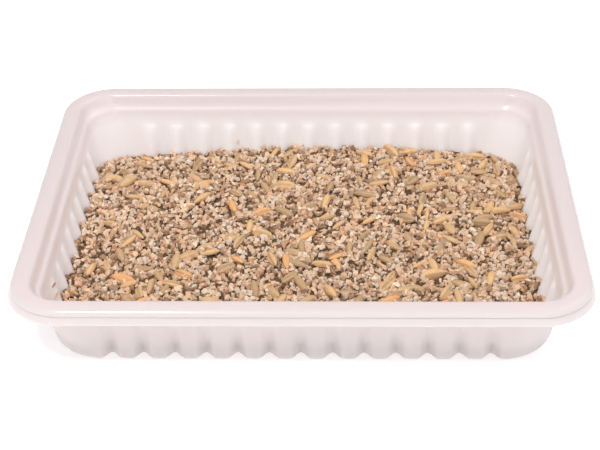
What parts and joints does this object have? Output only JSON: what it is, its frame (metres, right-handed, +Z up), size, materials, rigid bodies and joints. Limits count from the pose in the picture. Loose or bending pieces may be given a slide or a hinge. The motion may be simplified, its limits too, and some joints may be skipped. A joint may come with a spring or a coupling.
{
  "type": "wheatgrass growing tray with sown seed bed",
  "caption": "Shallow milky plastic tray with fluted walls and a rolled rim, holding a level bed of vermiculite sown with whole cereal grains, before any blades show.",
  "frame": {"origin": "centre of the tray's underside, at the base of the bounding box", "axes": "+X along the tray's long side, to the right of a viewer at the front; +Y across the tray, towards its back; +Z up"},
  "size_m": [0.2274, 0.1784, 0.034],
  "materials": {
    "milky_plastic": "milky, slightly translucent, satin",
    "vermiculite": "loose flaky chips and dry grains, rough"
  },
  "bodies": {
    "root": {"tray": "milky_plastic", "seed_bed": "vermiculite"}
  },
  "joints": []
}
